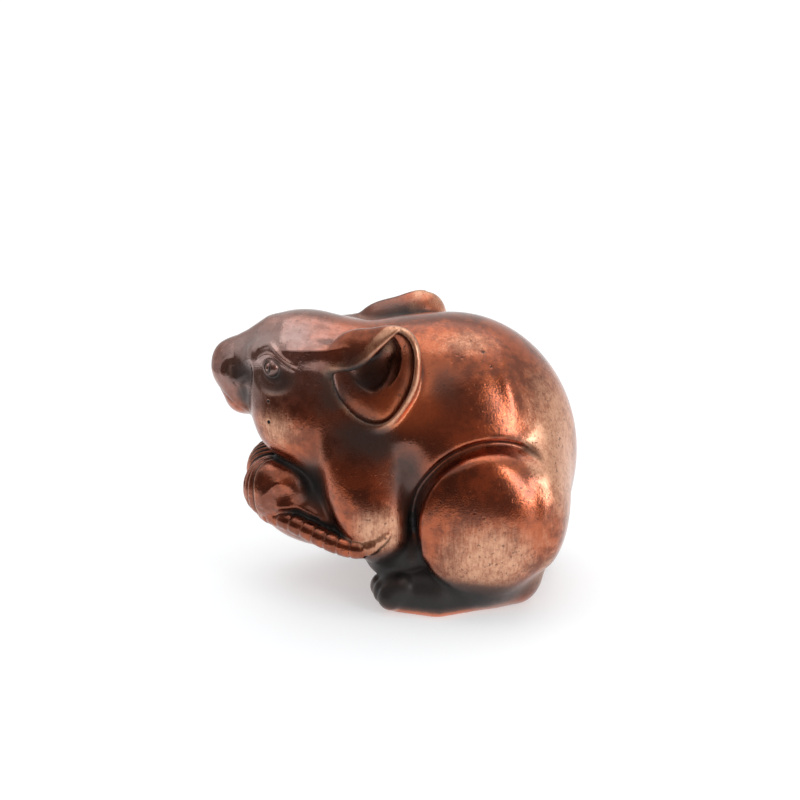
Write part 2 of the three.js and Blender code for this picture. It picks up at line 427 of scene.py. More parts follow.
@dataclass
class Ear:
    """A cupped ear with a sloping inner wall, whose upper front part is rolled over as a flap.

    outline holds the radius of the rim at every eighth of a turn, from the rear over the top. The right ear
    is moved by right_shift and lies deeper in the neck, so its hollow reaches right_crown over its mouth and
    stops right_sill short of the wall at the bottom.
    """

    axes: LocalAxes = LocalAxes((-1.6, -12.0, 40.6), (-0.36, -0.90, 0.16), (0.95, -0.35, 0.18))
    right_shift: Triple = (1.5, 0.0, -0.6)
    reach: float = 14.0
    right_sill: float = 0.9
    sill_reach: tuple[float, float] = (0.0, 0.7)
    right_crown: float = 8.0
    flap_bend: float = 1.5
    outline: tuple[float, ...] = (7.9, 9.7, 7.9, 9.2, 9.2, 8.7, 8.7, 7.4)
    depth: float = 5.6
    crown: float = 2.6
    wall: float = 0.95
    dish_depth: float = 2.6
    cup_share: float = 0.62
    cup_shift: Triple = (-0.8, 1.8, 0.0)
    cup_depth: float = 4.5
    cup_crown: float = 1.3
    flap_edge: float = 1.1
    flap_slope: float = 0.82
    flap_rise: float = 2.75
    flap_roll: float = 1.4
    mouth_level: float = 0.2
    rim: float = 0.45
    lip: float = 1.0
    cup_seam: float = 0.4
    flap_seam: float = 0.5
    shell_seam: float = 1.0
    canal_seam: float = 0.6
    canal: Lump = Lump((-5.7, -12.4, 38.0), (2.4, 3.0, 2.2))
    crease: Score = Score(
        ((1.2, 2.4, -3.6), (0.8, 0.2, -3.6), (-0.4, -1.8, -3.4), (-2.2, -3.0, -3.0)),
        0.6, -0.6, facing=(0.0, 0.0, 1.0), taper=0.35, reach=6.0,
    )

    def rim_radius(self, along: np.ndarray, up: np.ndarray) -> np.ndarray:
        """Gives the radius of the rim in the direction of each point."""
        turn = (np.arctan2(up, along) / (2.0 * math.pi) % 1.0) * len(self.outline)
        rows = np.array(self.outline)
        first = turn.astype(int) % len(rows)
        share = turn - turn.astype(int)
        after, beyond = rows[(first + 1) % len(rows)], rows[(first + 2) % len(rows)]
        return curve(rows[first - 1], rows[first], after, beyond, share)

    def bowl(
        self, local: np.ndarray, radius: np.ndarray, depth: float, crown: float | np.ndarray
    ) -> np.ndarray:
        """Measures points against a bowl with a crown over its mouth.

        Args:
            local: Points in the bowl's own frame.
            radius: Radius of its rim in the direction of each point.
            depth: Its depth under the mouth.
            crown: Height of the crown over the mouth, one for all points or one each.

        Returns:
            One distance a row, negative inside.
        """
        deep = np.where(local[:, 2] < 0.0, depth, crown)
        across = np.hypot(local[:, 0], local[:, 1])
        share = np.hypot(across / radius, local[:, 2] / deep)
        slope = np.hypot(across / radius**2, local[:, 2] / deep**2)
        return share * (share - 1.0) / np.maximum(slope, 1e-9)

    def shape(self, head: np.ndarray, points: np.ndarray, right: np.ndarray) -> np.ndarray:
        """Joins the ear to a head and hollows it.

        Args:
            head: Distances to the head.
            points: Rows of places folded onto its left half.
            right: Which rows were on the right half.

        Returns:
            Distances to the head with its ears.
        """
        placed = points - np.where(right[:, None], np.array(self.right_shift), 0.0)
        local = self.axes.local(placed)
        near = np.flatnonzero(np.abs(local).max(axis=1) < self.reach)
        local = local[near]
        along, up, out = local.T
        slant = (up - self.flap_slope * along - self.flap_rise) / math.hypot(1.0, self.flap_slope)
        under_flap = blend(up - self.flap_edge, slant, self.flap_bend)
        radius = self.rim_radius(along, up)
        mouth = common(self.mouth_level - out, under_flap, self.rim)
        shell = carve(self.bowl(local, radius, self.depth, self.crown), mouth, self.lip)
        inner = local - np.array(self.cup_shift)
        cup_radius = self.cup_share * self.rim_radius(inner[:, 0], inner[:, 1])
        low = ramp(*self.sill_reach, -up / np.maximum(np.hypot(along, up), 1e-6))
        wall = self.wall + np.where(right[near], self.right_sill * low, 0.0)
        crown = np.where(right[near], self.right_crown, self.cup_crown)
        dish = self.bowl(local, radius - wall, self.dish_depth, crown)
        cup = self.bowl(inner, cup_radius, self.cup_depth, crown)
        hollow = common(blend(dish, cup, self.cup_seam), under_flap - self.flap_roll, self.flap_seam)
        form = blend(head[near], shell, self.shell_seam)
        form = carve(form, hollow, self.rim)
        form = carve(form, self.canal.distance(placed[near]), self.canal_seam)
        form = form + self.crease.relief(local) * (under_flap < self.flap_roll)
        result = head.copy()
        result[near] = form
        return result


@dataclass
class Head:
    """Skull, muzzle, jaw, cheeks and brow, turned a little to the right flank, with eyes, nose and ears."""

    turn: float = 7.0
    pivot: Triple = (-6.0, 0.0, 30.0)
    cranium: Lump = Lump((-13.5, 0.0, 36.6), (11.5, 10.3, 10.8), tilt=4.0)
    muzzle: Rod = Rod(((-17.5, 0.0, 38.4), (-26.2, 0.0, 37.6)), (7.9, 4.9))
    bridge: Rod = Rod(((-27.8, 0.0, 39.4), (-23.6, 0.0, 41.3), (-20.0, 0.0, 43.0)), (2.4, 2.7, 3.6))
    jaw: Lump = Lump((-24.4, 0.0, 33.2), (4.6, 4.0, 3.6), tilt=-30.0)
    cheek: Lump = Lump((-14.6, -5.4, 31.4), (8.4, 6.5, 8.4))
    brow: Rod = Rod(((-22.0, -5.4, 41.6), (-16.0, -7.6, 42.4), (-8.0, -8.6, 42.7)), (1.3, 1.6, 2.1))
    brow_ridge: Score = Score(
        ((-17.8, -8.6, 43.2), (-14.0, -9.6, 43.6), (-9.5, -10.2, 44.2), (-5.0, -11.5, 45.0)), 0.5, -0.25,
        facing=(-0.2, -0.8, 0.5),
    )
    nose: tuple[Score, ...] = (
        Score(
            (
                (-26.2, -3.8, 40.6), (-27.5, -4.0, 40.0), (-28.4, -4.1, 39.1), (-28.6, -4.3, 37.9),
                (-28.0, -4.6, 36.4),
            ),
            0.35, -0.1, facing=(-0.45, -0.88, 0.1),
        ),
        Score(
            ((-27.4, -4.7, 38.2), (-26.2, -5.3, 38.3), (-24.8, -6.0, 38.3), (-22.6, -7.4, 38.4)),
            1.7, 0.6, facing=(-0.5, -0.86, 0.0),
        ),
        Score(
            ((-25.6, -5.6, 37.4), (-24.5, -6.0, 35.6), (-24.6, -5.4, 33.4), (-25.0, -4.0, 31.2)),
            1.4, 0.4, facing=(-0.5, -0.86, 0.0),
        ),
        Score(
            ((-27.0, -4.9, 36.8), (-26.3, -5.1, 35.8), (-25.7, -4.9, 34.4), (-25.6, -4.4, 32.8)),
            0.35, 0.16, facing=(-0.5, -0.86, 0.0),
        ),
        Score(
            ((-29.8, 0.0, 35.2), (-28.4, -2.4, 33.7), (-26.6, -3.3, 32.3), (-24.6, -3.4, 31.0)),
            0.25, 0.12, facing=(-0.8, -0.3, -0.5),
        ),
    )
    muzzle_seam: float = 3.5
    bridge_seam: float = 1.5
    jaw_seam: float = 2.5
    cheek_seam: float = 3.0
    brow_seam: float = 2.5
    eye: Eye = field(default_factory=Eye)
    ear: Ear = field(default_factory=Ear)

    def straighten(self, points: np.ndarray) -> np.ndarray:
        """Turns points from the rat's frame to the frame of a head held straight."""
        cosine, sine = math.cos(math.radians(self.turn)), math.sin(math.radians(self.turn))
        x, y, z = (points - np.array(self.pivot)).T
        turned = np.stack([cosine * x - sine * y, sine * x + cosine * y, z], axis=1)
        return turned + np.array(self.pivot)

    def distance(self, points: np.ndarray) -> np.ndarray:
        """Measures how far points on the left half of a straight head are outside it.

        Args:
            points: Rows of places in the head's own frame.

        Returns:
            One distance a row, negative inside.
        """
        form = blend(self.cranium.distance(points), self.muzzle.distance(points), self.muzzle_seam)
        form = blend(form, self.bridge.distance(points), self.bridge_seam)
        form = blend(form, self.jaw.distance(points), self.jaw_seam)
        form = blend(form, self.cheek.distance(points), self.cheek_seam)
        return blend(form, self.brow.distance(points), self.brow_seam)

    def face(self, form: np.ndarray, points: np.ndarray) -> np.ndarray:
        """Works the nose, the whisker pads, the mouth and the eyes.

        Args:
            form: Distances to the whole rat.
            points: Rows of places on the left half of a straight head.

        Returns:
            Distances to the rat with its face.
        """
        near = np.flatnonzero(points[:, 0] < 0.0)
        face = points[near]
        worked = form[near] + self.brow_ridge.relief(face)
        for line in self.nose:
            worked += line.relief(face)
        form = form.copy()
        form[near] = self.eye.shape(worked, face)
        return form


@dataclass
class Foreleg:
    """Upper arm, forearm and a fist with fine finger lines."""

    upper_arm: Lump = Lump((-4.2, -11.6, 19.6), (6.8, 5.6, 11.5), tilt=-15.0, lean=10.5)
    arm_seam: float = 1.0
    shoulder_seam: float = 3.2
    soft_above: tuple[float, float] = (18.0, 28.0)
    soft_ahead: tuple[float, float] = (4.0, 9.0)
    forearm: Rod = Rod(((-2.6, -11.6, 11.8), (-10.0, -8.0, 13.0), (-16.0, -5.5, 16.5)), (3.9, 3.2, 3.2))
    palm: Lump = Lump((-18.4, -5.4, 18.6), (6.0, 4.4, 5.0), tilt=20.0)
    fingers: Lump = Lump((-20.6, -4.4, 18.4), (5.0, 4.6, 5.4), tilt=10.0)
    finger_lines: int = 6
    finger_pitch: float = 1.05
    inner_finger: float = -2.6
    finger_half_width: float = 0.22
    finger_depth: float = 0.42
    finger_bow: float = 0.09
    knuckle: float = -20.0
    knuckle_slope: float = 0.25
    knuckle_fade: tuple[float, float] = (-1.2, 0.6)
    hand_lines: tuple[Score, ...] = (
        Score(
            ((-22.4, -7.8, 16.0), (-21.8, -8.8, 18.4), (-20.4, -9.4, 20.4), (-18.4, -9.6, 21.4)),
            0.6, -0.3, reach=5.0,
        ),
        Score(
            ((-20.4, -9.5, 17.8), (-18.6, -9.8, 18.8), (-16.2, -9.8, 19.0)),
            1.3, 0.6, taper=0.4, reach=5.0,
        ),
        Score(
            ((-20.6, -9.0, 16.4), (-17.8, -9.7, 16.8), (-14.6, -10.2, 16.2), (-12.0, -10.8, 15.0)),
            0.5, -0.3, reach=5.0,
        ),
    )
    forearm_seam: float = 1.0
    palm_seam: float = 1.0
    fist_seam: float = 0.6
    waist: Score = Score(
        ((1.4, -15.2, 31.0), (2.2, -15.6, 26.0), (2.8, -15.4, 20.0), (2.8, -14.8, 14.0), (2.6, -14.0, 7.0)),
        2.3, 1.6, taper=0.3, reach=7.0,
    )

    def shape(self, form: np.ndarray, points: np.ndarray) -> np.ndarray:
        """Joins the foreleg to a body.

        Args:
            form: Distances to the body.
            points: Rows of places on the left half.

        Returns:
            Distances to the body with its foreleg.
        """
        form = form + self.waist.relief(points)
        soft = np.maximum(ramp(*self.soft_above, points[:, 2]), ramp(*self.soft_ahead, -points[:, 0]))
        seam = self.arm_seam + (self.shoulder_seam - self.arm_seam) * soft
        form = blend(form, self.upper_arm.distance(points), seam)
        form = blend(form, self.forearm.distance(points), self.forearm_seam)
        fist = blend(self.palm.distance(points), self.fingers.distance(points), self.palm_seam)
        bow = self.finger_bow * (points[:, 2] - self.fingers.centre[2]) ** 2
        outward = (self.inner_finger - points[:, 1] + bow) / self.finger_pitch
        nearest = np.clip(np.round(outward), 0, self.finger_lines - 1)
        beside = (outward - nearest) * self.finger_pitch / self.finger_half_width
        knuckle = self.knuckle + self.knuckle_slope * (points[:, 2] - self.palm.centre[2])
        shown = 1.0 - ramp(*self.knuckle_fade, points[:, 0] - knuckle)
        fist = fist + self.finger_depth * np.exp(-(beside**2)) * shown
        form = blend(form, fist, self.fist_seam)
        for line in self.hand_lines:
            form = form + line.relief(points)
        return form


@dataclass
class HindLeg:
    """A flat round thigh with a groove over it, a shin and a foot with four toes."""

    thigh: Lump = Lump((15.6, -13.2, 16.2), (12.3, 7.6, 13.2))
    lens_share: float = 1.3
    outline_seam: float = 2.2
    front_seam: float = 0.8
    rear_seam: float = 9.8
    groove_depth: float = 1.2
    groove_half_width: float = 0.75
    groove_offset: float = 0.35
    groove_start: tuple[float, float] = (-25.0, -5.0)
    groove_end: tuple[float, float] = (100.0, 138.0)
    groove_side: tuple[float, float] = (8.0, 11.0)
    rear_reach: tuple[float, float] = (19.0, 27.0)
    heel_reach: tuple[float, float] = (8.0, 18.0)
    shin: Lump = Lump((2.0, -9.5, 8.5), (7.0, 5.0, 5.0))
    foot: Rod = Rod(((1.5, -12.4, 3.2), (7.0, -13.8, 3.4), (20.0, -9.5, 3.6)), (4.2, 4.6, 4.2))
    shin_seam: float = 1.5
    foot_seam: float = 1.0
    heel_seam: float = 3.5
    toe_seam: float = 0.4
    toe_count: int = 4
    toe_root: Triple = (1.5, -8.0, 4.4)
    toe_tip: Triple = (-2.0, -8.0, 2.8)
    toe_pitch: float = 2.3
    toe_set_back: float = 0.8
    longest_toe: float = 1.2
    toe_radii: tuple[float, float] = (2.6, 2.3)

    def groove(self, points: np.ndarray) -> np.ndarray:
        """Works out the depth of the groove that runs over the front and top of the thigh."""
        wide, _, tall = self.thigh.radii
        ahead = (self.thigh.centre[0] - points[:, 0]) / wide
        up = (points[:, 2] - self.thigh.centre[2]) / tall
        beside = (np.hypot(ahead, up) - 1.0) * tall - self.groove_offset
        angle = np.degrees(np.arctan2(up, ahead))
        ends = ramp(*self.groove_start, angle) * (1.0 - ramp(*self.groove_end, angle))
        ends = ends * ramp(*self.groove_side, -points[:, 1])
        return self.groove_depth * np.exp(-((beside / self.groove_half_width) ** 2)) * ends

    def thigh_form(self, points: np.ndarray) -> np.ndarray:
        """Measures points against the thigh: a flat lens within a round outline, with a rounder rear."""
        wide, deep, tall = self.thigh.radii
        ahead = (self.thigh.centre[0] - points[:, 0]) / wide
        out = (points[:, 1] - self.thigh.centre[1]) / deep
        up = (points[:, 2] - self.thigh.centre[2]) / tall
        round_share = np.hypot(ahead, up)
        flat = round_share / (1.0 + (self.lens_share - 1.0) * ramp(-0.5, 0.5, ahead))
        share = np.hypot(flat, out)
        lens = (share - 1.0) * deep / np.maximum(np.abs(out) / np.maximum(share, 1e-6), 0.6)
        return common(lens, (round_share - 1.0) * wide, self.outline_seam)

    def shape(self, form: np.ndarray, points: np.ndarray) -> np.ndarray:
        """Joins the hind leg to a body.

        Args:
            form: Distances to the body.
            points: Rows of places on the left half.

        Returns:
            Distances to the body with its hind leg.
        """
        seam = self.front_seam + (self.rear_seam - self.front_seam) * ramp(*self.rear_reach, points[:, 0])
        form = blend(form, self.thigh_form(points), seam) + self.groove(points)
        form = blend(form, self.shin.distance(points), self.shin_seam)
        seam = self.foot_seam + self.heel_seam * ramp(*self.heel_reach, points[:, 0])
        form = blend(form, self.foot.distance(points), seam)
        for number in range(self.toe_count):
            shift = np.array((0.0, -self.toe_pitch * number, 0.0))
            root = np.array(self.toe_root) + shift
            set_back = self.toe_set_back * abs(number - self.longest_toe)
            tip = np.array(self.toe_tip) + shift + np.array((set_back, 0.0, 0.0))
            toe = Rod((tuple(root), tuple(tip)), self.toe_radii)
            form = blend(form, toe.distance(points), self.toe_seam)
        return form


@dataclass
class Tail:
    """A ringed tail from the rump along the right side, under the fists and up to the left elbow."""

    rod: Rod = Rod(
        (
            (22.0, -2.0, 8.4), (24.8, 3.6, 5.4), (22.8, 11.6, 3.2), (14.0, 17.0, 2.8),
            (4.0, 16.6, 3.6), (-4.5, 13.6, 6.8), (-12.5, 9.8, 11.0), (-18.6, 6.0, 13.6),
            (-21.8, 1.8, 14.2), (-21.6, -4.0, 14.0), (-18.0, -8.4, 13.9), (-14.6, -10.8, 13.2),
            (-10.3, -13.6, 12.1), (-6.2, -15.7, 11.7), (-3.6, -16.5, 12.7), (-1.0, -16.8, 14.9),
        ),
        (4.2, 3.7, 3.3, 3.1, 3.0, 2.9, 2.7, 2.4, 2.1, 1.9, 1.7, 1.7, 1.7, 1.6, 1.3, 0.7),
        steps=4,
        far=3.0,
    )
    seam: float = 0.35
    root_seam: float = 3.0
    root_length: float = 11.0
    ring_pitch: float = 2.4
    ring_half_width: float = 0.22
    ring_depth: float = 0.22

    def shape(self, form: np.ndarray, points: np.ndarray) -> np.ndarray:
        """Joins the tail to a body and scores its rings.

        Args:
            form: Distances to the body.
            points: Rows of places.

        Returns:
            Distances to the body with its tail.
        """
        tail, along = self.rod.measure(points)
        beside = (along / self.ring_pitch + 0.5) % 1.0 - 0.5
        tail = tail + self.ring_depth * np.exp(-((beside * self.ring_pitch / self.ring_half_width) ** 2))
        root = 1.0 - ramp(0.4 * self.root_length, self.root_length, along)
        return blend(form, tail, self.seam + (self.root_seam - self.seam) * root * (tail < self.rod.far))


@dataclass
class Rat:
    """The whole casting: its sculpted form, its fine mesh and its bronze.

    head_detail and body_detail hold the balls where the mesh is finer: centre, radius and length of an edge.
    """

    trunk: Trunk = field(default_factory=Trunk)
    head: Head = field(default_factory=Head)
    foreleg: Foreleg = field(default_factory=Foreleg)
    hind_leg: HindLeg = field(default_factory=HindLeg)
    tail: Tail = field(default_factory=Tail)
    node: str = "rat"
    name: str = "rat_bronze"
    neck_seam: float = 4.0
    voxel: float = 0.5
    remesh_passes: int = 3
    mend_rounds: int = 3
    sharp_bend: float = math.cos(math.radians(36.0))
    shortest_edge: float = 0.2
    plain_edge: float = 0.62
    tail_edge: float = 0.38
    groove_edge: float = 0.34
    longest_share: float = 1.35
    head_detail: tuple[tuple[Triple, float, float], ...] = (
        ((-2.0, -12.0, 40.5), 11.5, 0.42),
        ((-26.8, -3.5, 36.5), 5.5, 0.32),
        ((-19.3, -8.7, 40.3), 5.0, 0.26),
        ((-20.0, -8.6, 40.4), 1.8, 0.13),
    )
    body_detail: tuple[tuple[Triple, float, float], ...] = (
        ((-23.0, -4.5, 19.0), 5.5, 0.3),
        ((-0.5, -11.5, 2.5), 6.0, 0.42),
    )
    longest_press: float = 0.5
    side_step: float = 0.25
    relax_share: float = 0.6
    shelter_reach: float = 14.0
    shelter_rays: int = 28
    pit_seam: float = 0.15
    pits: tuple[tuple[Triple, float], ...] = (
        ((14.6, -8.7, 43.8), 0.55), ((10.2, -9.6, 43.4), 0.22), ((11.0, -9.9, 43.0), 0.2),
        ((9.3, -10.5, 42.5), 0.2), ((12.5, -7.2, 45.0), 0.2), ((15.7, -10.1, 41.5), 0.2),
        ((12.8, -20.7, 20.1), 0.24), ((14.4, -20.9, 19.3), 0.28), ((13.3, -20.5, 22.1), 0.2),
        ((17.8, -20.6, 21.2), 0.2), ((17.8, -20.9, 16.9), 0.22), ((14.7, -20.4, 9.6), 0.24),
        ((-20.8, -8.5, 35.0), 0.28), ((-20.7, -8.9, 31.6), 0.28),
    )
    # Pale zones: wear on high places, and painted highlights where the lower thigh, rump, back, elbow and
    # cheek catch the light.
    worn_and_lit: tuple[Zone, ...] = (
        Zone((15.5, -20.5, 11.2), (9.5, 8.0, 8.0)),
        Zone((27.0, -8.0, 29.0), (8.0, 13.0, 15.0), 0.95),
        Zone((12.0, -8.0, 45.0), (9.0, 5.0, 3.0), 0.6),
        Zone((-2.0, -17.0, 15.5), (5.5, 4.0, 4.6), 1.1),
        Zone((-18.0, -10.0, 31.0), (4.5, 4.0, 4.5), 0.9, on_head=True),
    )
    # Painted shade: zones that darken where shade falls, under and behind the ears, on the neck, flank and
    # waist, on the shin and foot under the thigh, and by the eye, snout and fist.
    painted_shade: tuple[Zone, ...] = (
        Zone((-25.2, -5.8, 38.0), (3.2, 2.6, 2.6), 1.4, on_head=True),
        Zone((-24.8, -5.4, 34.0), (1.8, 2.2, 3.4), 1.1, on_head=True),
        Zone((-17.6, -9.4, 38.4), (4.0, 3.0, 2.6), 0.9, on_head=True),
        Zone((-9.0, -11.0, 37.0), (5.0, 4.0, 6.0), 0.8, on_head=True),
        Zone((-3.6, -10.5, 41.0), (4.0, 3.5, 4.5), 1.7, on_head=True),
        Zone((-1.0, 9.0, 45.5), (7.0, 4.0, 2.6), 1.0, on_head=True),
        Zone((-3.0, -13.5, 31.0), (9.5, 6.0, 5.5), 1.1),
        Zone((8.0, -14.0, 38.0), (5.0, 4.0, 7.0), 0.8),
        Zone((2.0, -15.0, 25.0), (4.2, 5.0, 8.0), 0.9),
        Zone((2.4, -14.8, 15.0), (2.8, 4.0, 6.0), 0.6),
        Zone((-0.5, -12.0, 8.0), (5.0, 8.0, 4.0), 2.0),
        Zone((6.0, -16.0, 3.8), (14.0, 8.0, 3.6), 2.4),
        Zone((-13.5, -9.2, 21.0), (3.8, 4.0, 5.5), 1.0),
    )
    # Painted reflection: vivid red inside the ear, where light bounces between its walls, and along the foot's
    # lower edge, where the floor shines on it.
    painted_reflection: tuple[Zone, ...] = (
        Zone((2.8, -13.4, 35.6), (6.0, 3.5, 3.6), on_head=True),
        Zone((5.6, -14.0, 40.6), (2.2, 3.5, 5.5), on_head=True),
        Zone((6.0, -17.5, 0.3), (13.0, 5.0, 1.6), 0.8),
    )
    greyed: tuple[Zone, ...] = (
        Zone((-19.0, -4.0, 40.5), (13.0, 9.0, 9.0), 0.95, on_head=True),
        Zone((-21.0, -5.0, 19.0), (6.0, 6.0, 6.0), 0.4),
        Zone((26.0, -4.0, 14.0), (8.0, 10.0, 12.0), 0.5),
    )

    def distance(self, points: np.ndarray) -> np.ndarray:
        """Measures how far points are outside the rat.

        Args:
            points: Rows of places in millimetres.

        Returns:
            One distance a row, negative inside.
        """
        half = left_side(points)
        straight = self.head.straighten(points)
        right = straight[:, 1] > 0.0
        head_half = left_side(straight)
        form = blend(self.trunk.distance(half), self.head.distance(head_half), self.neck_seam)
        form = self.foreleg.shape(form, half)
        form = self.hind_leg.shape(form, half)
        form = self.tail.shape(form, points)
        form = self.head.ear.shape(form, head_half, right)
        form = self.head.face(form, head_half)
        for centre, radius in self.pits:
            place = np.array(centre)
            close = around(points, place, place, 3.0 * radius)
            ball = np.linalg.norm(points[close] - place, axis=1) - radius
            form[close] = carve(form[close], ball, self.pit_seam)
        return np.maximum(form, -points[:, 2])

    def gradient(self, points: np.ndarray) -> tuple[np.ndarray, np.ndarray]:
        """Measures the distance and its slope.

        Args:
            points: Rows of places in millimetres.

        Returns:
            The distances, and the direction in which they grow.
        """
        corners = np.array(((1, -1, -1), (-1, -1, 1), (-1, 1, -1), (1, 1, 1)), float)
        total = np.zeros(len(points))
        slope = np.zeros_like(points)
        for corner in corners:
            value = self.distance(points + corner * GRADIENT_STEP)
            total += value
            slope += value[:, None] * corner
        return total / 4.0, slope / (4.0 * GRADIENT_STEP)

    def press(self, points: np.ndarray, rounds: int, facing: np.ndarray | None = None) -> np.ndarray:
        """Moves points onto the form.

        Args:
            points: Rows of places near the skin.
            rounds: Number of steps.
            facing: Which way each point faces, to take it to the right side of a thin wall.

        Returns:
            The moved points.
        """
        for _ in range(rounds):
            distance, slope = self.gradient(points)
            step = distance / np.maximum((slope**2).sum(axis=1), 0.05)
            move = slope * step[:, None]
            size = np.linalg.norm(move, axis=1)
            move *= (np.minimum(size, self.longest_press) / np.maximum(size, 1e-9))[:, None]
            if facing is not None:
                wrong = (slope * facing).sum(axis=1) < 0.0
                move[wrong] = -self.side_step * facing[wrong]
            points = points - move
        points[:, 2] = np.maximum(points[:, 2], 0.0)
        return points

    def target_edge(self, points: np.ndarray) -> np.ndarray:
        """Says how long an edge of the mesh may be at each place."""
        half = left_side(points)
        head_half = left_side(self.head.straighten(points))
        target = np.full(len(points), self.plain_edge)
        for places, zones in ((head_half, self.head_detail), (half, self.body_detail)):
            for centre, radius, edge in zones:
                near = np.linalg.norm(places - np.array(centre), axis=1) < radius
                target[near] = np.minimum(target[near], edge)
        for centre, radius in self.pits:
            place = np.array(centre)
            target[around(points, place, place, 2.0 * radius)] = 0.4 * radius
        tail = self.tail.rod.distance(points) < 0.5
        target[tail] = np.minimum(target[tail], self.tail_edge)
        groove = self.hind_leg.groove(half) > 0.1
        target[groove] = np.minimum(target[groove], self.groove_edge)
        return target

    def copy_solid(self) -> bpy.types.Mesh:
        """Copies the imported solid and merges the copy's corners."""
        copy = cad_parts[self.node].data.copy()
        work = bmesh.new()
        work.from_mesh(copy)
        bmesh.ops.remove_doubles(work, verts=work.verts, dist=1e-7)
        work.to_mesh(copy)
        work.free()
        return copy

    def remesh(self, copy: bpy.types.Mesh) -> bpy.types.Mesh:
        """Remeshes a mesh evenly.

        Args:
            copy: The mesh to remesh, which is removed.

        Returns:
            The new mesh, in metres.
        """
        holder = bpy.data.objects.new("blank", copy)
        bpy.context.scene.collection.objects.link(holder)
        remesh = holder.modifiers.new("even", "REMESH")
        remesh.mode = "VOXEL"
        remesh.voxel_size = self.voxel * MILLIMETRE
        bpy.context.view_layer.update()
        evaluated = holder.evaluated_get(bpy.context.evaluated_depsgraph_get())
        mesh = bpy.data.meshes.new_from_object(evaluated)
        bpy.data.objects.remove(holder)
        bpy.data.meshes.remove(copy)
        return mesh

    def refine(self, mesh: bpy.types.Mesh, rounds: int, by_bend: bool) -> None:
        """Splits the edges that are too long for their place or bend too much.

        Args:
            mesh: The mesh to refine, in metres.
            rounds: The most passes to make.
            by_bend: Whether to split sharp bends, instead of edges over the target length.
        """
        work = bmesh.new()
        work.from_mesh(mesh)
        bmesh.ops.triangulate(work, faces=work.faces)
        for _ in range(rounds):
            work.verts.index_update()
            points = np.array([vertex.co[:] for vertex in work.verts]) / MILLIMETRE
            ends = np.array([(edge.verts[0].index, edge.verts[1].index) for edge in work.edges])
            first, second = points[ends[:, 0]], points[ends[:, 1]]
            lengths = np.linalg.norm(first - second, axis=1)
            if by_bend:
                slope = self.gradient(points)[1]
                slope /= np.maximum(np.linalg.norm(slope, axis=1), 1e-9)[:, None]
                turn = (slope[ends[:, 0]] * slope[ends[:, 1]]).sum(axis=1)
                chosen = (turn < self.sharp_bend) & (lengths > self.shortest_edge)
            else:
                chosen = lengths > self.longest_share * self.target_edge(0.5 * (first + second))
            split = [edge for edge, wanted in zip(work.edges, chosen) if wanted]
            if not split:
                break
            bmesh.ops.subdivide_edges(work, edges=split, cuts=1)
            bmesh.ops.triangulate(work, faces=work.faces)
        self.mend(work)
        work.to_mesh(mesh)
        work.free()

    def mend(self, work: bmesh.types.BMesh) -> None:
        """Takes out faces that lie back to back or stand off the skin, and closes the gaps that they leave.

        Args:
            work: The mesh to mend.
        """
        for _ in range(self.mend_rounds):
            twins: dict[frozenset[bmesh.types.BMVert], list[bmesh.types.BMFace]] = {}
            for face in work.faces:
                twins.setdefault(frozenset(face.verts), []).append(face)
            stray = {face for group in twins.values() if len(group) > 1 for face in group}
            for edge in work.edges:
                if len(edge.link_faces) > 2:
                    fins = [face for face in edge.link_faces if any(side.is_boundary for side in face.edges)]
                    stray.update(fins)
            bmesh.ops.delete(work, geom=list(stray), context="FACES")
            gaps = [edge for edge in work.edges if edge.is_boundary]
            filled = bmesh.ops.holes_fill(work, edges=gaps, sides=0)["faces"]
            bmesh.ops.triangulate(work, faces=filled)
        bmesh.ops.recalc_face_normals(work, faces=work.faces)

    def relax(self, mesh: bpy.types.Mesh, points: np.ndarray, rounds: int) -> np.ndarray:
        """Evens out the mesh along the skin.

        Args:
            mesh: The mesh that the points belong to.
            points: Its places in millimetres.
            rounds: Number of passes.

        Returns:
            The moved points, on the form.
        """
        edges = np.zeros(len(mesh.edges) * 2, np.int32)
        mesh.edges.foreach_get("vertices", edges)
        first, second = edges.reshape(-1, 2).T
        count = np.bincount(edges, minlength=len(points))
        for _ in range(rounds):
            total = np.stack(
                [
                    np.bincount(first, points[second, axis], len(points))
                    + np.bincount(second, points[first, axis], len(points))
                    for axis in range(3)
                ],
                axis=1,
            )
            move = total / count[:, None] - points
            slope = self.gradient(points)[1]
            slope /= np.maximum(np.linalg.norm(slope, axis=1), 1e-9)[:, None]
            move -= slope * (move * slope).sum(axis=1)[:, None]
            points = self.press(points + self.relax_share * move, 1)
        return points

    def survey(self, mesh: bpy.types.Mesh, points: np.ndarray) -> None:
        """Stores how sheltered and how exposed each place is, with the zones of painted shade, painted
        reflection, wear and painted highlight, for the bronze's colour.

        Args:
            mesh: The mesh to store them on.
            points: Its places in millimetres.
        """
        slope = self.gradient(points)[1]
        normal = slope / np.maximum(np.linalg.norm(slope, axis=1), 1e-9)[:, None]

        def closed(reach: float) -> np.ndarray:
            """Gives how much clay stands over the skin at this height."""
            return np.clip(1.0 - self.distance(points + normal * reach) / reach, 0.0, 1.0)

        def thin(reach: float) -> np.ndarray:
            """Gives how little clay lies under the skin at this depth."""
            return np.clip(1.0 + self.distance(points - normal * reach) / reach, 0.0, 1.0)

        straight = self.head.straighten(points)

        def zoned(zones: tuple[Zone, ...]) -> np.ndarray:
            """Gives the strongest of some zones at each place."""
            return np.max([zone.share(straight if zone.on_head else points) for zone in zones], axis=0)

        # Painted shade zones, lessened where the painted reflection zones lie; the pits take full painted
        # shade.
        painted_reflection = zoned(self.painted_reflection)
        painted_shade = zoned(self.painted_shade) - painted_reflection
        for centre, radius in self.pits:
            place = np.array(centre)
            painted_shade[around(points, place, place, 1.05 * radius)] = 1.1
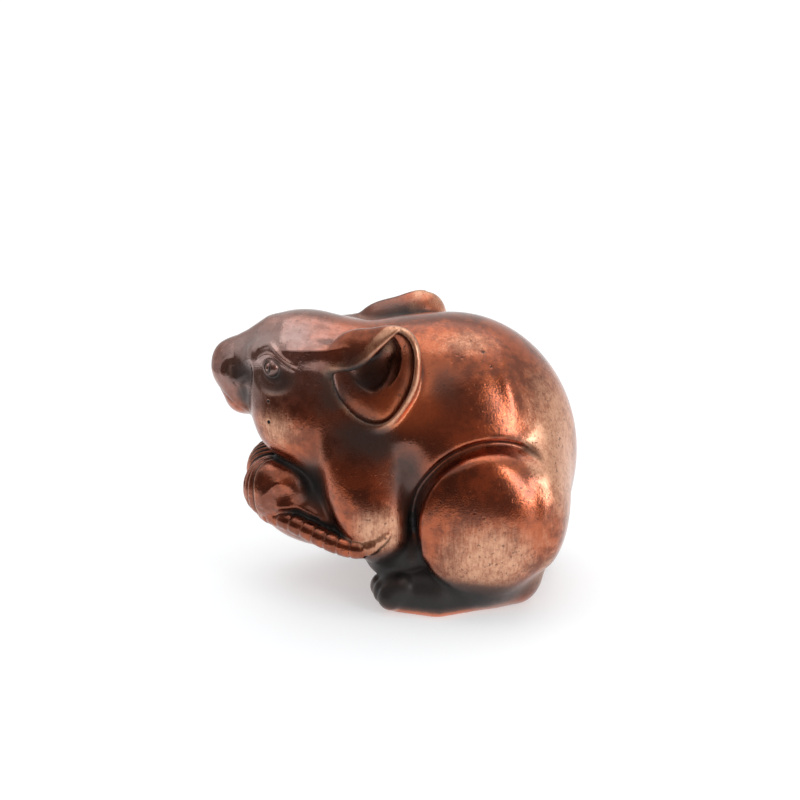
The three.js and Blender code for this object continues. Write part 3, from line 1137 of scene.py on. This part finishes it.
        # crevice and shelter measure how closed in each place is; the material turns them into black patina
        # and painted shade, while edge feeds the wear.
        readings = {
            "crevice": 0.5 * closed(0.5) + 0.5 * closed(1.1),
            "shelter": self.shelter(mesh, points, normal),
            "edge": 0.5 * thin(0.4) + 0.5 * thin(0.9),
            "painted_shade": painted_shade,
            "painted_reflection": painted_reflection,
            "worn_and_lit": zoned(self.worn_and_lit),
            "greyed": zoned(self.greyed),
        }
        for name, values in readings.items():
            layer = mesh.attributes.new(name, "FLOAT", "POINT")
            layer.data.foreach_set("value", values.astype(np.float32))

    def shelter(self, mesh: bpy.types.Mesh, points: np.ndarray, normal: np.ndarray) -> np.ndarray:
        """Works out how much of the open air over each place is closed off by the rat itself.

        Args:
            mesh: The mesh that the points belong to.
            points: Its places in millimetres.
            normal: The outward direction at each place.

        Returns:
            Values from 0, open, to 1, closed off.
        """
        triangles = [tuple(polygon.vertices) for polygon in mesh.polygons]
        tree = BVHTree.FromPolygons(points.tolist(), triangles, all_triangles=True)
        order = np.arange(self.shelter_rays)
        level = 1.0 - (2.0 * order + 1.0) / self.shelter_rays
        turn = order * math.pi * (3.0 - math.sqrt(5.0))
        flat = np.sqrt(1.0 - level**2)
        rays = np.stack([flat * np.cos(turn), flat * np.sin(turn), level], axis=1)
        starts = (points + 0.08 * normal).tolist()
        lift = normal @ rays.T
        blocked = np.zeros(len(points))
        weight = np.zeros(len(points))
        for number, ray in enumerate(rays.tolist()):
            facing = np.flatnonzero(lift[:, number] > 0.08)
            share = lift[facing, number]
            hits = [tree.ray_cast(starts[row], ray, self.shelter_reach)[3] for row in facing]
            closeness = [0.0 if hit is None else 1.0 - hit / self.shelter_reach for hit in hits]
            blocked[facing] += share * np.array(closeness)
            weight[facing] += share
        return self.soften(mesh, blocked / np.maximum(weight, 1e-6), 3)

    def soften(self, mesh: bpy.types.Mesh, values: np.ndarray, rounds: int) -> np.ndarray:
        """Averages values with their neighbours on the mesh.

        Args:
            mesh: The mesh that the values belong to.
            values: One value for each vertex.
            rounds: Number of passes.

        Returns:
            The softened values.
        """
        edges = np.zeros(len(mesh.edges) * 2, np.int32)
        mesh.edges.foreach_get("vertices", edges)
        first, second = edges.reshape(-1, 2).T
        count = np.bincount(edges, minlength=len(values))
        for _ in range(rounds):
            total = np.bincount(first, values[second], len(values))
            total = total + np.bincount(second, values[first], len(values))
            values = 0.5 * values + 0.5 * total / count
        return values

    def build(self) -> bpy.types.Object:
        """Makes the finished mesh.

        Returns:
            The rat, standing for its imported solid.
        """
        mesh = self.copy_solid()
        for _ in range(self.remesh_passes):
            mesh = self.remesh(mesh)
            self.settle(mesh, press_rounds=4, relax_rounds=1, guided=True)
        self.refine(mesh, 4, by_bend=False)
        self.settle(mesh, press_rounds=1, relax_rounds=1)
        self.refine(mesh, 1, by_bend=True)
        points = self.settle(mesh, press_rounds=1, relax_rounds=2)
        self.survey(mesh, points)
        for polygon in mesh.polygons:
            polygon.use_smooth = True
        mesh.name = self.name
        piece = bpy.data.objects.new(self.name, mesh)
        bpy.context.scene.collection.objects.link(piece)
        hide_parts(self.node)
        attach(piece, "root")
        return piece

    def settle(
        self, mesh: bpy.types.Mesh, press_rounds: int, relax_rounds: int, guided: bool = False
    ) -> np.ndarray:
        """Presses a mesh onto the form and evens it out.

        Args:
            mesh: The mesh to move, in metres.
            press_rounds: Number of pressing steps.
            relax_rounds: Number of evening passes.
            guided: Whether points keep to the side of the wall that they face.

        Returns:
            The points in millimetres.
        """
        points = np.zeros(len(mesh.vertices) * 3)
        mesh.vertices.foreach_get("co", points)
        facing = None
        if guided:
            facing = np.zeros(len(points))
            mesh.vertices.foreach_get("normal", facing)
            facing = facing.reshape(-1, 3)
        points = self.press(points.reshape(-1, 3) / MILLIMETRE, press_rounds, facing)
        points = self.relax(mesh, points, relax_rounds)
        points = self.press(points, 2)
        mesh.vertices.foreach_set("co", (points * MILLIMETRE).ravel())
        mesh.update()
        return points

    def dress(self, piece: bpy.types.Object) -> None:
        """Gives the rat its bronze."""
        piece.data.materials.clear()
        piece.data.materials.append(BronzePatina().material())


class Sum(Enum):
    """Sums that a Math or Vector Math node works out."""

    ADD = "ADD"
    SUBTRACT = "SUBTRACT"
    MULTIPLY = "MULTIPLY"


class Shade:
    """A value socket that takes part in Python expressions."""

    def __init__(self, bench: "NodeBench", socket: bpy.types.NodeSocket) -> None:
        """Wraps a socket of a bench's tree."""
        self.bench = bench
        self.socket = socket

    def maths(self, operation: Sum, first: "Shade | float", second: "Shade | float") -> "Shade":
        """Adds a Math node.

        Args:
            operation: The node's operation.
            first: Its first value.
            second: Its second value.

        Returns:
            The node's result.
        """
        return self.bench.node("ShaderNodeMath", {"operation": operation.value}, {0: first, 1: second})

    def __add__(self, other: "Shade | float") -> "Shade":
        """Adds."""
        return self.maths(Sum.ADD, self, other)

    __radd__ = __add__

    def __mul__(self, other: "Shade | float") -> "Shade":
        """Multiplies."""
        return self.maths(Sum.MULTIPLY, self, other)

    __rmul__ = __mul__

    def __sub__(self, other: "Shade | float") -> "Shade":
        """Subtracts."""
        return self.maths(Sum.SUBTRACT, self, other)

    def __rsub__(self, other: "Shade | float") -> "Shade":
        """Subtracts from a number."""
        return self.maths(Sum.SUBTRACT, other, self)

    def step(self, low: float, high: float) -> "Shade":
        """Rises smoothly from 0 at low to 1 at high."""
        settings = {"interpolation_type": "SMOOTHSTEP"}
        inputs = {"Value": self, "From Min": low, "From Max": high}
        return self.bench.node("ShaderNodeMapRange", settings, inputs)


class NodeBench:
    """Adds nodes to one material's tree."""

    def __init__(self, material: bpy.types.Material) -> None:
        """Empties a material's tree to work in it."""
        material.use_nodes = True
        self.tree = material.node_tree
        self.tree.nodes.clear()

    def node(self, kind: str, settings: dict, inputs: dict, output: int | str = 0) -> Shade:
        """Adds a node.

        Args:
            kind: The node's type.
            settings: Its own settings, set first.
            inputs: Values or links of its sockets, by name or number.
            output: Which of its outputs to return.

        Returns:
            The output, wrapped.
        """
        made = self.tree.nodes.new(kind)
        for name, value in settings.items():
            setattr(made, name, value)
        for name, value in inputs.items():
            if isinstance(value, Shade):
                self.tree.links.new(value.socket, made.inputs[name])
            else:
                made.inputs[name].default_value = value
        return Shade(self, made.outputs[output]) if made.outputs else Shade(self, made.inputs[0])

    def mix(self, share: Shade | float, first: Shade | tuple, second: Shade | tuple) -> Shade:
        """Mixes two colours.

        Args:
            share: How much of the second colour.
            first: The first colour.
            second: The second colour.

        Returns:
            The mixed colour.
        """
        settings = {"data_type": "RGBA", "blend_type": "MIX"}
        return self.node("ShaderNodeMix", settings, {0: share, 6: first, 7: second}, output=2)

    def attribute(self, name: str) -> Shade:
        """Reads a number stored on the mesh."""
        return self.node("ShaderNodeAttribute", {"attribute_name": name}, {}, output="Fac")

    def noise(self, scale: Triple, detail: float, roughness: float) -> Shade:
        """Adds a noise on Object coordinates.

        Args:
            scale: Its scale along each axis.
            detail: Its number of finer layers.
            roughness: How strong the finer layers are.

        Returns:
            The noise.
        """
        place = self.node("ShaderNodeTexCoord", {}, {}, output="Object")
        place = self.node("ShaderNodeVectorMath", {"operation": Sum.MULTIPLY.value}, {0: place, 1: scale})
        inputs = {"Vector": place, "Scale": 1.0, "Detail": detail, "Roughness": roughness}
        return self.node("ShaderNodeTexNoise", {}, inputs)


@dataclass(frozen=True)
class BronzePatina:
    """Browned bronze: red-brown all over, black patina and painted shade in the hollows and sheltered places,
    pale wear on the edges, painted highlights where light falls and painted reflections in the ear and under
    the foot.
    """

    name: str = "browned bronze"
    browned: tuple[float, float, float, float] = (0.43, 0.108, 0.043, 1.0)
    dark_brown: tuple[float, float, float, float] = (0.20, 0.055, 0.027, 1.0)
    painted_reflection_red: tuple[float, float, float, float] = (0.88, 0.25, 0.10, 1.0)
    worn_and_lit: tuple[float, float, float, float] = (0.72, 0.39, 0.25, 1.0)
    dull: tuple[float, float, float, float] = (0.50, 0.23, 0.14, 1.0)
    grey: tuple[float, float, float, float] = (0.38, 0.285, 0.27, 1.0)
    painted_shade_brown: tuple[float, float, float, float] = (0.095, 0.058, 0.05, 1.0)
    patina_and_shade_black: tuple[float, float, float, float] = (0.028, 0.024, 0.023, 1.0)

    def material(self) -> bpy.types.Material:
        """Makes the material.

        Returns:
            The new material.
        """
        material = bpy.data.materials.new(self.name)
        bench = NodeBench(material)
        cloud = bench.noise((160.0, 160.0, 160.0), 5.0, 0.6)
        blotch = bench.noise((620.0, 620.0, 620.0), 4.0, 0.65)
        grain = bench.noise((2600.0, 2600.0, 2600.0), 3.0, 0.6)
        brushed = bench.noise((2800.0, 2800.0, 420.0), 3.0, 0.6)
        pitted = bench.noise((1500.0, 1500.0, 1500.0), 2.0, 0.5).step(0.63, 0.71)
        painted_shade = bench.attribute("painted_shade")
        # Painted shade: the shade zones turn a dark brown.
        shade_mask = (painted_shade + (blotch - 0.5) * 0.6 + (cloud - 0.5) * 0.6).step(0.12, 1.0)
        # Near black in crevices and sheltered places: black patina in the crevices and painted shade where the
        # rat closes off the light, also less metallic and rougher there.
        hollow = bench.attribute("crevice") + bench.attribute("shelter") * 0.75 + painted_shade * 0.55
        hollow = (hollow + (blotch - 0.5) * 0.35 + (cloud - 0.5) * 0.35).step(0.25, 1.0)
        # Pale where edges wear thin, and painted highlights in the lit zones.
        wear_and_highlight = bench.attribute("edge") * 1.2 + bench.attribute("worn_and_lit") * 0.8
        wear_and_highlight = (wear_and_highlight + (blotch - 0.5) * 0.4 + (brushed - 0.5) * 0.3).step(0.22, 0.82)
        brown = bench.mix((cloud + (blotch - 0.5) * 0.6).step(0.35, 0.65), self.dark_brown, self.browned)
        speckle = (blotch * 0.4 + grain * 0.3 + brushed * 0.3).step(0.38, 0.58)
        pale = bench.mix(speckle, self.dull, self.worn_and_lit)
        # Painted reflection: vivid red inside the ear and along the foot's lower edge.
        brown = bench.mix(bench.attribute("painted_reflection"), brown, self.painted_reflection_red)
        greyed = (bench.attribute("greyed") + (blotch - 0.5) * 0.5).step(0.1, 0.95)
        colour = bench.mix(greyed * 0.92, bench.mix(wear_and_highlight, brown, pale), self.grey)
        # Painted shade: dark brown laid over the shade zones.
        colour = bench.mix(shade_mask * 0.9, colour, self.painted_shade_brown)
        colour = bench.mix(pitted * (0.25 + wear_and_highlight * 0.35), colour, self.patina_and_shade_black)
        # Black patina and painted shade in the crevices and sheltered places.
        colour = bench.mix(hollow, colour, self.patina_and_shade_black)
        roughness = 0.17 + grain * 0.1 + wear_and_highlight * 0.14 + hollow * 0.26
        height = grain + blotch * 0.8 + brushed * 0.5 - pitted * 1.2
        bump = bench.node("ShaderNodeBump", {}, {"Strength": 0.17, "Distance": 0.0002, "Height": height})
        shader = bench.node(
            "ShaderNodeBsdfPrincipled",
            {},
            {
                "Base Color": colour,
                "Metallic": 1.0 - hollow * 0.45,
                "Roughness": roughness,
                "Coat Weight": (0.5 - wear_and_highlight * 0.3) * (1.0 - hollow * 0.85),
                "Coat Roughness": 0.2,
                "Normal": bump,
            },
        )
        bench.node("ShaderNodeOutputMaterial", {}, {"Surface": shader})
        return material


@dataclass(frozen=True)
class Softbox:
    """A soft rectangular lamp, placed by its direction from the rat.

    azimuth is 0 towards the camera and 90 to its right; size is width and height in metres.
    """

    name: str
    azimuth: float
    elevation: float
    away: float
    size: tuple[float, float]
    brightness: float
    colour: Triple = (1.0, 1.0, 1.0)

    def build(self) -> bpy.types.Object:
        """Adds the lamp, turned to the rat.

        Returns:
            The lamp.
        """
        turn, rise = math.radians(self.azimuth), math.radians(self.elevation)
        middle = Vector((0.0, 0.0, RAT_MIDDLE))
        towards = Vector((math.sin(turn) * math.cos(rise), -math.cos(turn) * math.cos(rise), math.sin(rise)))
        lamp = bpy.data.lights.new(self.name, "AREA")
        lamp.shape = "RECTANGLE"
        lamp.size, lamp.size_y = self.size
        lamp.energy = self.brightness * math.pi * self.size[0] * self.size[1]
        lamp.color = self.colour
        holder = bpy.data.objects.new(self.name, lamp)
        holder.location = middle + towards * self.away
        holder.rotation_euler = towards.to_track_quat("Z", "Y").to_euler()
        bpy.context.scene.collection.objects.link(holder)
        return holder


@dataclass(frozen=True)
class Screen:
    """A curved screen that only reflections show, by its reach in degrees as seen from the rat."""

    name: str
    azimuth: tuple[float, float]
    elevation: tuple[float, float]
    away: float
    colour: tuple[float, float, float, float]
    height: float = RAT_MIDDLE

    def build(self) -> bpy.types.Object:
        """Hangs the screen.

        Returns:
            The screen.
        """
        mesh = bpy.data.meshes.new(self.name)
        work = bmesh.new()
        bmesh.ops.create_grid(work, x_segments=24, y_segments=12, size=0.5)
        for vertex in work.verts:
            turn = math.radians(np.interp(vertex.co.x, (-0.5, 0.5), self.azimuth))
            rise = math.radians(np.interp(vertex.co.y, (-0.5, 0.5), self.elevation))
            flat = self.away * math.cos(rise)
            level = self.height + self.away * math.sin(rise)
            vertex.co = (flat * math.sin(turn), -flat * math.cos(turn), level)
        work.to_mesh(mesh)
        work.free()
        screen = bpy.data.objects.new(self.name, mesh)
        bpy.context.scene.collection.objects.link(screen)
        material = bpy.data.materials.new(self.name)
        bench = NodeBench(material)
        shader = bench.node("ShaderNodeEmission", {}, {"Color": self.colour, "Strength": 1.0})
        bench.node("ShaderNodeOutputMaterial", {}, {"Surface": shader})
        mesh.materials.append(material)
        screen.visible_camera = False
        screen.visible_diffuse = False
        screen.visible_shadow = False
        return screen


@dataclass
class Studio:
    """A pale tent with a dark mouth on the camera's side, its floor, two lamps and the camera."""

    floor_half: float = 3.0
    floor_colour: tuple[float, float, float, float] = (0.60, 0.63, 0.65, 1.0)
    floor_roughness: float = 0.55
    floor_glow: float = 0.42
    camera_place: Triple = (0.0, -0.3195, 0.1414)
    camera_aim: Triple = (0.000935, 0.00233, 0.03154)
    lens: float = 90.0
    sensor: float = 36.0
    tent: tuple[float, float, float, float] = (0.80, 0.79, 0.78, 1.0)
    screens: tuple[Screen, ...] = (
        Screen("tent_mouth", (-85.0, 0.0), (-11.0, 38.0), 0.13, (0.17, 0.115, 0.095, 1.0)),
        Screen("tent_edge", (0.0, 42.0), (-11.0, 48.0), 0.13, (0.30, 0.19, 0.145, 1.0)),
        Screen("tent_shade", (-150.0, -85.0), (-11.0, 30.0), 0.13, (0.55, 0.53, 0.52, 1.0)),
    )
    lamps: tuple[Softbox, ...] = (
        Softbox("ceiling", 170.0, 75.0, 0.9, (1.1, 0.9), 1.0),
        Softbox("strip", 48.0, 20.0, 0.8, (0.15, 0.46), 8.0),
    )

    def build_floor(self) -> bpy.types.Object:
        """Lays the floor.

        Returns:
            The floor.
        """
        mesh = bpy.data.meshes.new("floor")
        work = bmesh.new()
        bmesh.ops.create_grid(work, x_segments=1, y_segments=1, size=self.floor_half)
        work.to_mesh(mesh)
        work.free()
        floor = bpy.data.objects.new("floor", mesh)
        bpy.context.scene.collection.objects.link(floor)
        material = bpy.data.materials.new("white card")
        bench = NodeBench(material)
        fibre = bench.noise((900.0, 900.0, 900.0), 3.0, 0.5)
        inputs = {
            "Base Color": self.floor_colour,
            "Roughness": self.floor_roughness + fibre * 0.1,
            "Emission Color": (1.0, 1.0, 1.0, 1.0),
            "Emission Strength": self.floor_glow,
        }
        shader = bench.node("ShaderNodeBsdfPrincipled", {}, inputs)
        bench.node("ShaderNodeOutputMaterial", {}, {"Surface": shader})
        mesh.materials.append(material)
        return floor

    def build_camera(self) -> bpy.types.Object:
        """Sets up the camera.

        Returns:
            The camera.
        """
        lens = bpy.data.cameras.new("camera")
        lens.lens = self.lens
        lens.sensor_width = self.sensor
        camera = bpy.data.objects.new("camera", lens)
        camera.location = self.camera_place
        look = Vector(self.camera_aim) - Vector(self.camera_place)
        camera.rotation_euler = look.to_track_quat("-Z", "Y").to_euler()
        bpy.context.scene.collection.objects.link(camera)
        bpy.context.scene.camera = camera
        return camera

    def build(self) -> None:
        """Sets up the floor, the camera, the lamps and the room."""
        self.build_floor()
        for screen in self.screens:
            screen.build()
        self.build_camera()
        for lamp in self.lamps:
            lamp.build()
        world = bpy.data.worlds.new("room")
        world.use_nodes = True
        background = world.node_tree.nodes["Background"]
        background.inputs["Color"].default_value = self.tent
        bpy.context.scene.world = world
        bpy.context.scene.view_settings.view_transform = "Standard"


def main() -> None:
    logging.basicConfig(level=logging.INFO, format="%(name)s: %(message)s")
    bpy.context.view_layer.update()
    Studio().build()
    rat = Rat()
    piece = rat.build()
    rat.dress(piece)
    log.info("%s: %d triangles", piece.name, len(piece.data.polygons))


if __name__ == "__main__":
    main()
